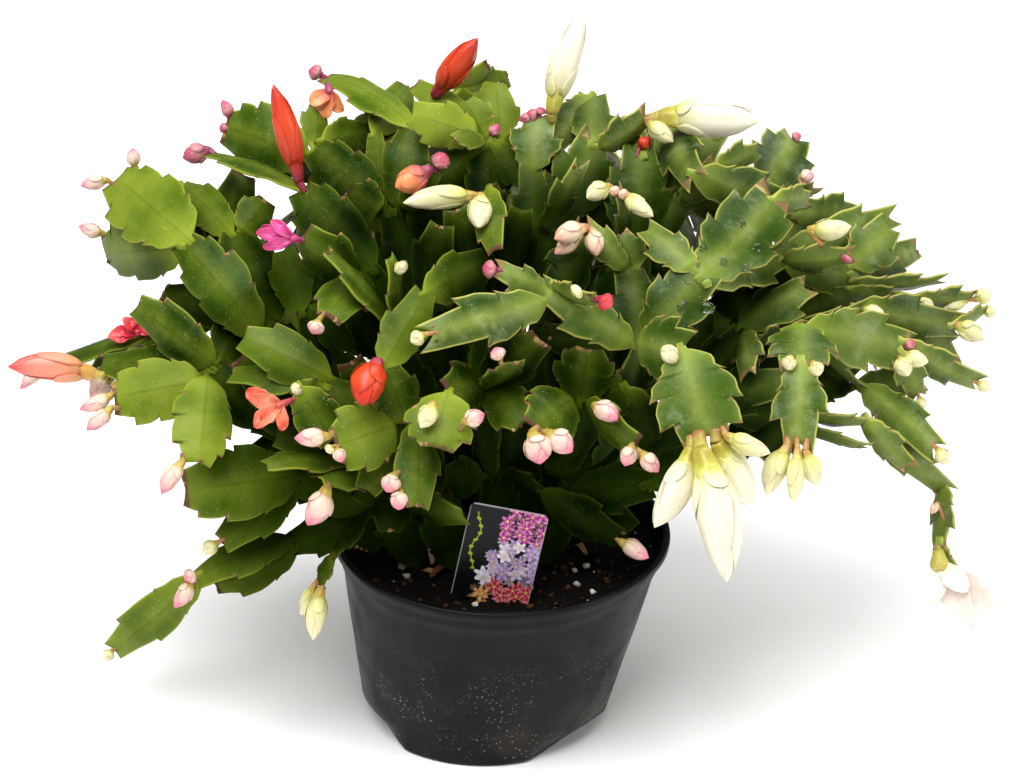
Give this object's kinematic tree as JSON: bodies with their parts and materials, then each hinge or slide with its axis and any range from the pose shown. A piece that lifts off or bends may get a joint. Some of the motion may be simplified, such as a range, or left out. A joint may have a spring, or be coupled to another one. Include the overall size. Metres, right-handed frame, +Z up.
{
  "type": "potted christmas cactus",
  "caption": "Potted flowering cactus: a wide crown of arching, jointed flat stems with flower buds at their tips, in a soft round nursery pot with soil and a push-in label.",
  "frame": {"origin": "middle of the pot's flat underside", "axes": "+Z up, -Y to the front where the label stands, +X along the widest spread of the crown"},
  "size_m": [0.4921, 0.3453, 0.3403],
  "materials": {
    "pot": "satin",
    "soil": "matte",
    "label": "satin",
    "round_stem": "satin",
    "claw_stem": "satin",
    "pink_bud": "satin",
    "cream_bud": "satin",
    "white_petal": "satin",
    "orange_petal": "satin",
    "salmon_petal": "matte"
  },
  "bodies": {
    "root": {"label": "label", "left_middle_bud_1": "pink_bud", "left_middle_bud_2": "pink_bud", "left_middle_bud_3": "pink_bud", "left_middle_bud_4": "pink_bud", "left_middle_bud_5": "salmon_petal", "left_middle_flower": "salmon_petal", "low_left_bud_1": "pink_bud", "low_left_bud_2": "cream_bud", "low_left_bud_3": "cream_bud", "middle_bud_1": "pink_bud", "middle_left_bud_1": "orange_petal", "middle_left_bud_2": "pink_bud", "middle_left_flower": "salmon_petal", "middle_right_bud_1": "pink_bud", "pot": "pot", "right_front_bud_1": "white_petal", "right_front_bud_2": "white_petal", "right_front_bud_3": "white_petal", "right_front_bud_4": "cream_bud", "right_front_bud_5": "cream_bud", "right_front_bud_6": "pink_bud", "right_high_bud_1": "cream_bud", "right_side_bud_1": "cream_bud", "right_side_bud_2": "cream_bud", "right_side_bud_3": "cream_bud", "right_side_flower": "white_petal", "soil": "soil", "stem_far_left_high": "round_stem", "stem_far_left_low": "round_stem", "stem_far_mid_left": "round_stem", "stem_far_mid_right": "claw_stem", "stem_far_middle": "claw_stem", "stem_far_right_high": "claw_stem", "stem_far_right_low": "claw_stem", "stem_left_high": "round_stem", "stem_left_middle": "round_stem", "stem_low_left": "round_stem", "stem_middle": "round_stem", "stem_middle_left": "round_stem", "stem_middle_right": "round_stem", "stem_right_front": "claw_stem", "stem_right_high": "claw_stem", "stem_right_side": "claw_stem", "stem_top_left": "round_stem", "stem_top_middle": "round_stem", "stem_upper_left": "round_stem", "stem_upper_middle": "claw_stem", "top_left_bud_1": "orange_petal", "top_left_flower": "salmon_petal", "top_middle_bud_1": "orange_petal", "top_middle_bud_2": "cream_bud", "top_middle_bud_3": "cream_bud", "upper_left_bud_1": "orange_petal", "upper_left_flower": "orange_petal", "upper_middle_bud_1": "white_petal", "upper_middle_bud_2": "cream_bud", "upper_middle_bud_3": "white_petal"}
  },
  "joints": []
}
